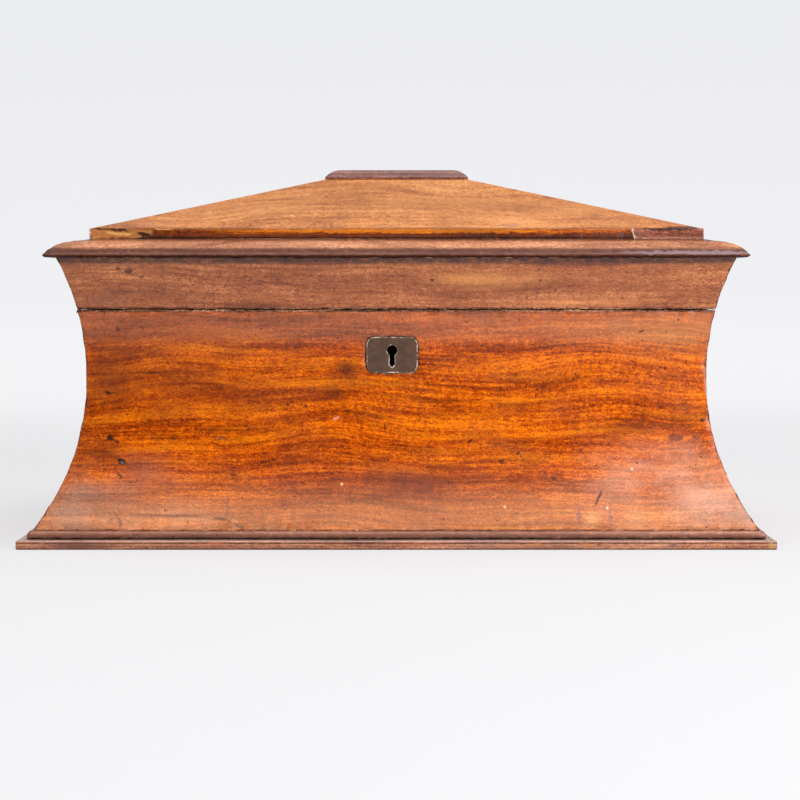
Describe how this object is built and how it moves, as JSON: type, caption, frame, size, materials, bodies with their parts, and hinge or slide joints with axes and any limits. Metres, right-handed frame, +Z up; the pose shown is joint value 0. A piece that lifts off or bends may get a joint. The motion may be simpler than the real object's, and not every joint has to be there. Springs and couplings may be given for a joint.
{
  "type": "antique tea caddy",
  "caption": "Sarcophagus-shaped wooden tea caddy: coved sides, hipped lid on butt hinges, box lock, two lidded canisters and a glass mixing bowl.",
  "frame": {"origin": "middle of the base board's underside", "axes": "+X to the right along the length, -Y out of the front with the keyhole, +Z up"},
  "size_m": [0.33, 0.185, 0.1688],
  "materials": {
    "figured_mahogany": "waxed, worn",
    "roof_mahogany": "waxed, worn",
    "dark_mahogany": "waxed, worn",
    "amber_facing": "varnished",
    "inner_wood": "bare",
    "lining_paper": "worn velvet",
    "canister_wood": "waxed",
    "canister_foil": "dull tin foil",
    "turned_bone": "polished bone",
    "bowl_glass": "clear",
    "darkened_brass": "blackened, edges bright",
    "lock_steel": "dull",
    "hinge_brass": "aged"
  },
  "bodies": {
    "case": {"base_board": "dark_mahogany", "bead_back": "dark_mahogany", "bead_front": "dark_mahogany", "bead_left": "dark_mahogany", "bead_right": "dark_mahogany", "bottom_board": "inner_wood", "canister_foil_left": "canister_foil", "canister_foil_right": "canister_foil", "canister_left": "canister_wood", "canister_right": "canister_wood", "case_back": "figured_mahogany", "case_front": "figured_mahogany", "case_left": "figured_mahogany", "case_right": "figured_mahogany", "escutcheon": "darkened_brass", "hinge_case_leaf_left": "hinge_brass", "hinge_case_leaf_right": "hinge_brass", "hinge_case_screws": "hinge_brass", "hinge_pins": "hinge_brass", "lock_case": "lock_steel", "lock_plate": "hinge_brass", "lock_screws": "hinge_brass", "mixing_bowl": "bowl_glass", "partition_left": "inner_wood", "partition_right": "inner_wood", "well_board": "inner_wood"},
    "lid": {"eaves_facing_back": "amber_facing", "eaves_facing_front": "amber_facing", "eaves_facing_left": "amber_facing", "eaves_facing_repair": "amber_facing", "eaves_facing_right": "amber_facing", "hinge_lid_leaf_left": "hinge_brass", "hinge_lid_leaf_right": "hinge_brass", "hinge_lid_screws": "hinge_brass", "lid_back_rail": "figured_mahogany", "lid_cap": "dark_mahogany", "lid_front_rail": "figured_mahogany", "lid_left_rail": "figured_mahogany", "lid_lining": "lining_paper", "lid_right_rail": "figured_mahogany", "link_plate": "hinge_brass", "link_screws": "hinge_brass", "roof_back": "roof_mahogany", "roof_front": "roof_mahogany", "roof_left": "roof_mahogany", "roof_right": "roof_mahogany", "thumb_moulding_back": "dark_mahogany", "thumb_moulding_front": "dark_mahogany", "thumb_moulding_left": "dark_mahogany", "thumb_moulding_right": "dark_mahogany"},
    "lock_bolt": {"lock_bolt": "lock_steel", "lock_spring": "lock_steel"},
    "canister_lid_left": {"canister_lid_left": "canister_wood", "canister_knob_left": "turned_bone", "canister_pivots_left": "hinge_brass"},
    "canister_lid_right": {"canister_lid_right": "canister_wood", "canister_knob_right": "turned_bone", "canister_pivots_right": "hinge_brass"}
  },
  "joints": [
    {"name": "lid_hinge", "type": "hinge", "parent": "case", "child": "lid", "pos_m": [0, 0.07118, 0.10355], "axis": [-1, 0, 0], "range_deg": [0, 100]},
    {"name": "lock_bolt_slide", "type": "slide", "parent": "case", "child": "lock_bolt", "axis": [1, 0, 0], "range_m": [0, 0.0045]},
    {"name": "canister_lid_left_hinge", "type": "hinge", "parent": "case", "child": "canister_lid_left", "pos_m": [-0.0905, 0.0484, 0.0974], "axis": [-1, 0, 0], "range_deg": [0, 90]},
    {"name": "canister_lid_right_hinge", "type": "hinge", "parent": "case", "child": "canister_lid_right", "pos_m": [0.0905, 0.0484, 0.0974], "axis": [-1, 0, 0], "range_deg": [0, 90]}
  ],
  "couplings": [
    {"joint": "canister_lid_left_hinge", "follows": "lid_hinge", "ratio": 0.9},
    {"joint": "canister_lid_right_hinge", "follows": "lid_hinge", "ratio": 0.9}
  ]
}
